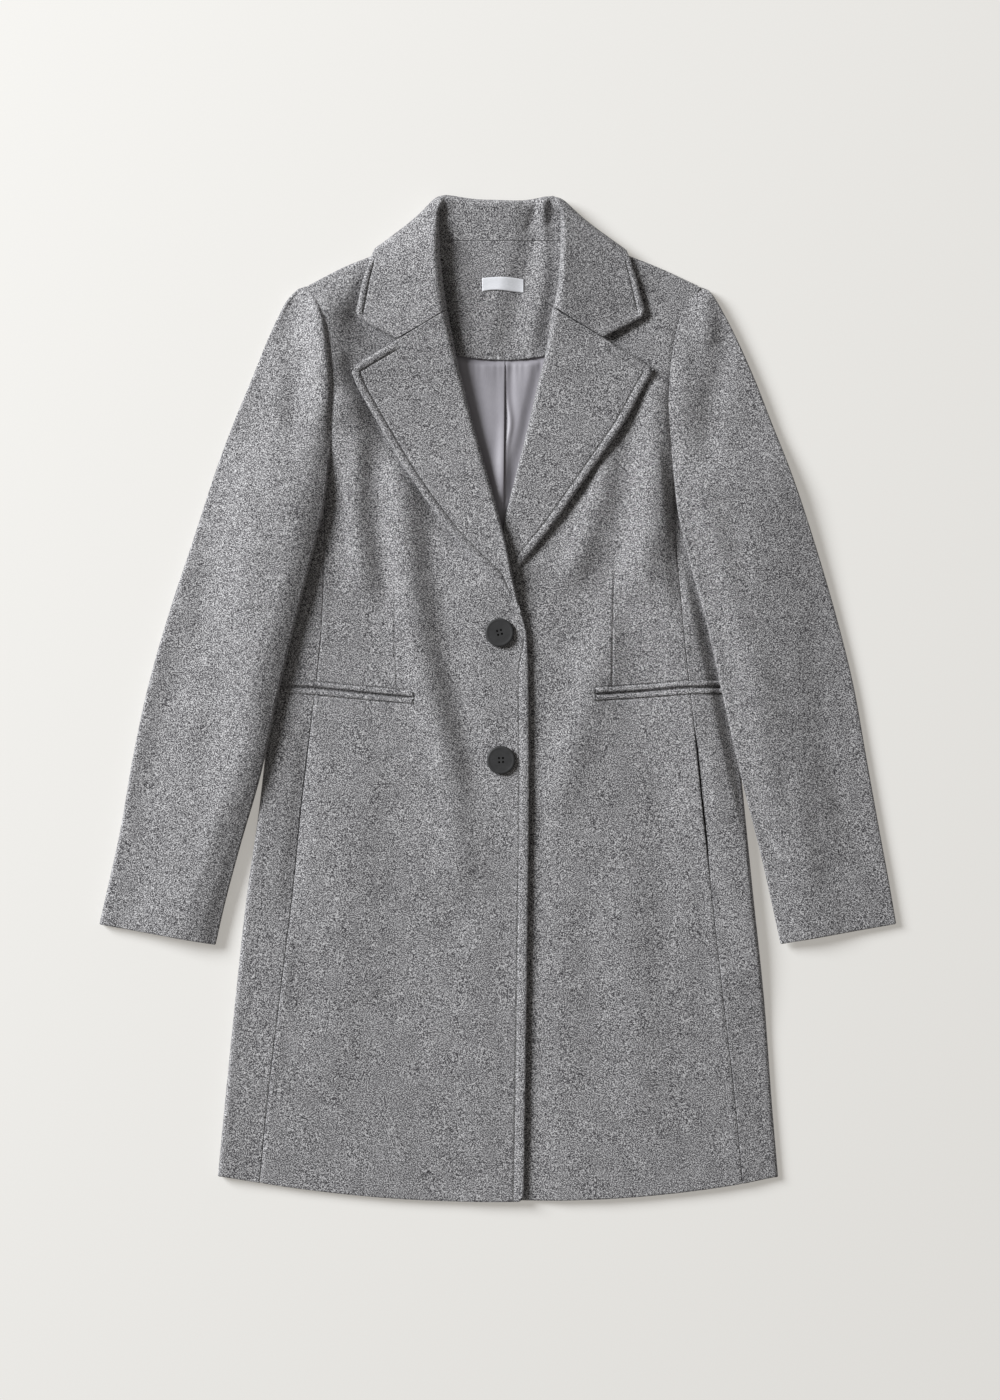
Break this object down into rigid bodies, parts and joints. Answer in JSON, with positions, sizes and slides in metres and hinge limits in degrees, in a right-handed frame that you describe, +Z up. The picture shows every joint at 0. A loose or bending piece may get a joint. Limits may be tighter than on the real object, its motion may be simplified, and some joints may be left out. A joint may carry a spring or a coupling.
{
  "type": "overcoat",
  "caption": "Single-breasted wool overcoat with notched lapels, long sleeves, welt pockets and round buttons, closed and laid flat on its back.",
  "frame": {"origin": "centre of the bounding box, on the surface that the coat lies on", "axes": "+X to the wearer's left, +Y from the hem to the collar, +Z up from the surface"},
  "size_m": [0.758, 0.9562, 0.0224],
  "materials": {
    "wool": "grey melange wool coating, brushed and matt",
    "lining": "grey satin lining",
    "label": "bare white woven tape",
    "button": "dark grey, matt"
  },
  "bodies": {
    "root": {"back": "wool", "right_front": "wool", "left_front": "wool", "right_side_panel": "wool", "left_side_panel": "wool", "right_upper_sleeve": "wool", "left_upper_sleeve": "wool", "right_under_sleeve": "wool", "left_under_sleeve": "wool", "right_lapel": "wool", "left_lapel": "wool", "collar": "wool", "collar_stand": "wool", "back_neck_facing": "wool", "back_lining": "lining", "label": "label", "right_pocket_upper_welt": "wool", "right_pocket_lower_welt": "wool", "left_pocket_upper_welt": "wool", "left_pocket_lower_welt": "wool", "button_upper": "button", "button_lower": "button"}
  },
  "joints": []
}
